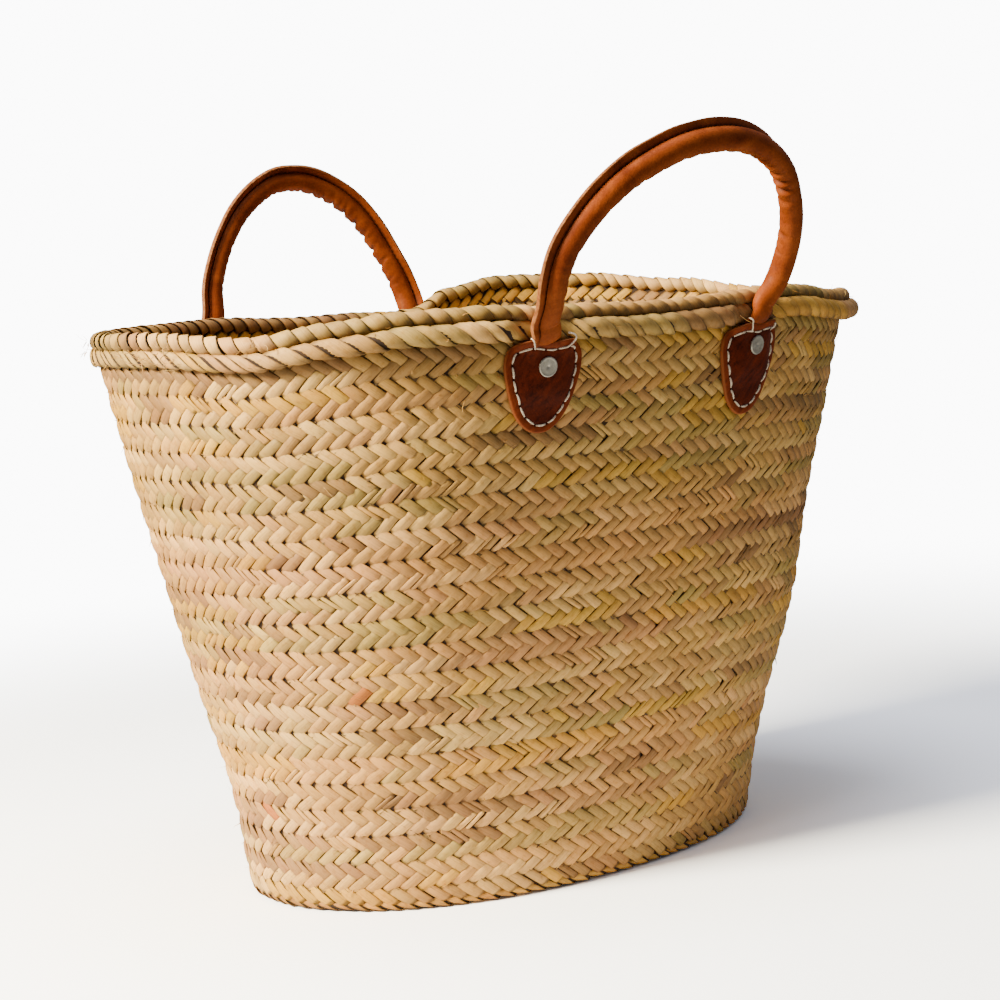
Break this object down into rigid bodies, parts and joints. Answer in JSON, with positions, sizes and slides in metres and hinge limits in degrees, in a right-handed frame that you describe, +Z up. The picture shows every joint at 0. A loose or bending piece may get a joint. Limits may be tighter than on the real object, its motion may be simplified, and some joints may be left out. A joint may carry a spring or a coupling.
{
  "type": "straw basket bag",
  "caption": "Flared oval basket bag of plaited palm straw with a rolled rim and leaning round handles of rolled leather, riveted under stitched leather tabs",
  "frame": {"origin": "middle of the base's underside, where the basket stands", "axes": "+X along the basket's length, -Y towards its front, +Z up"},
  "size_m": [0.4499, 0.3668, 0.3836],
  "materials": {
    "straw": "dry palm straw, satin",
    "handle_leather": "smooth, waxed",
    "tab_leather": "smooth, waxed",
    "rivet": "nickel plated"
  },
  "bodies": {
    "root": {"basket_wall": "straw", "basket_base": "straw", "rim_top_roll": "straw", "rim_outer_roll": "straw", "handle_front": "handle_leather", "handle_back": "handle_leather", "tab_front_left": "tab_leather", "tab_front_right": "tab_leather", "tab_back_left": "tab_leather", "tab_back_right": "tab_leather", "rivet_front_left": "rivet", "rivet_front_right": "rivet", "rivet_back_left": "rivet", "rivet_back_right": "rivet"}
  },
  "joints": []
}
